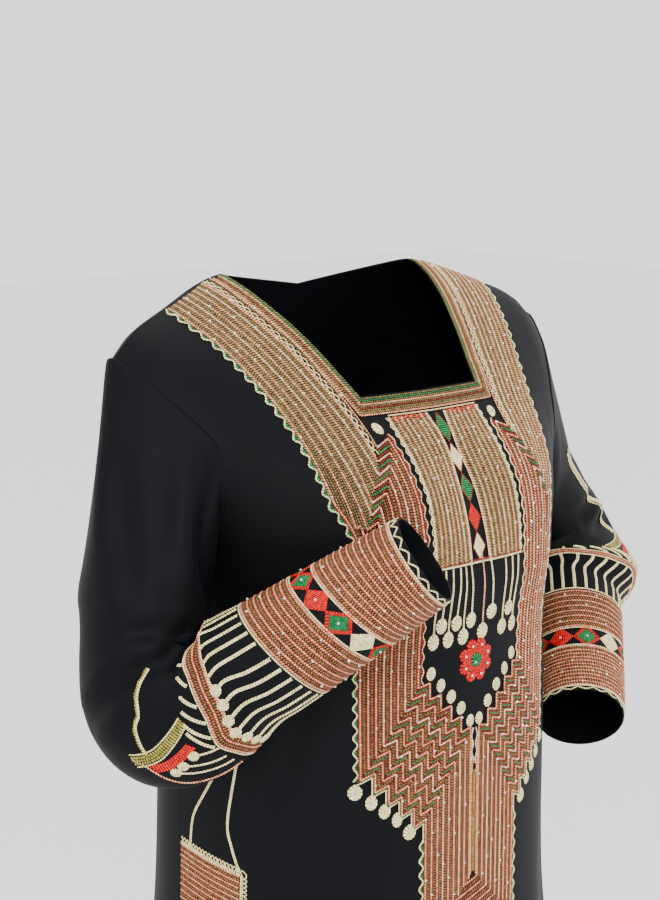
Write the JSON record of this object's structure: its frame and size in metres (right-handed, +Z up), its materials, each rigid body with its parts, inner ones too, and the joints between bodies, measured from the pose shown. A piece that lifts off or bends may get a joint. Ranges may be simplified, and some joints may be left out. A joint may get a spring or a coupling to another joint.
{
  "type": "jalabiya dress",
  "caption": "Long hollow black dress with sleeves, a square neckline and raised striped bands down the front and round the sleeves, in its worn form.",
  "frame": {"origin": "midway between the points where the shoulder seams meet the neck edge, where the dress hangs from the shoulders", "axes": "+Z up the dress, -Y towards the front, +X to the wearer's left"},
  "size_m": [0.6467, 0.4672, 1.4115],
  "materials": {
    "black_crepe": "matt woven crepe",
    "striped_braid": "stitched chain braid",
    "red_thread": "satin stitch",
    "green_thread": "satin stitch",
    "cream_thread": "satin stitch"
  },
  "bodies": {
    "root": {"front_panel": "black_crepe", "back_panel": "black_crepe", "sleeve_right": "black_crepe", "sleeve_left": "black_crepe", "neck_band": "striped_braid", "side_band_right": "striped_braid", "side_band_left": "striped_braid", "chest_column_right": "striped_braid", "chest_column_left": "striped_braid", "hip_patch_right": "striped_braid", "hip_patch_left": "striped_braid", "wrist_band_right": "striped_braid", "wrist_band_left": "striped_braid", "forearm_band_right": "striped_braid", "forearm_band_left": "striped_braid", "diamond_1": "green_thread", "diamond_2": "cream_thread", "diamond_3": "green_thread", "diamond_4": "red_thread", "diamond_5": "cream_thread", "rosette": "red_thread"}
  },
  "joints": []
}
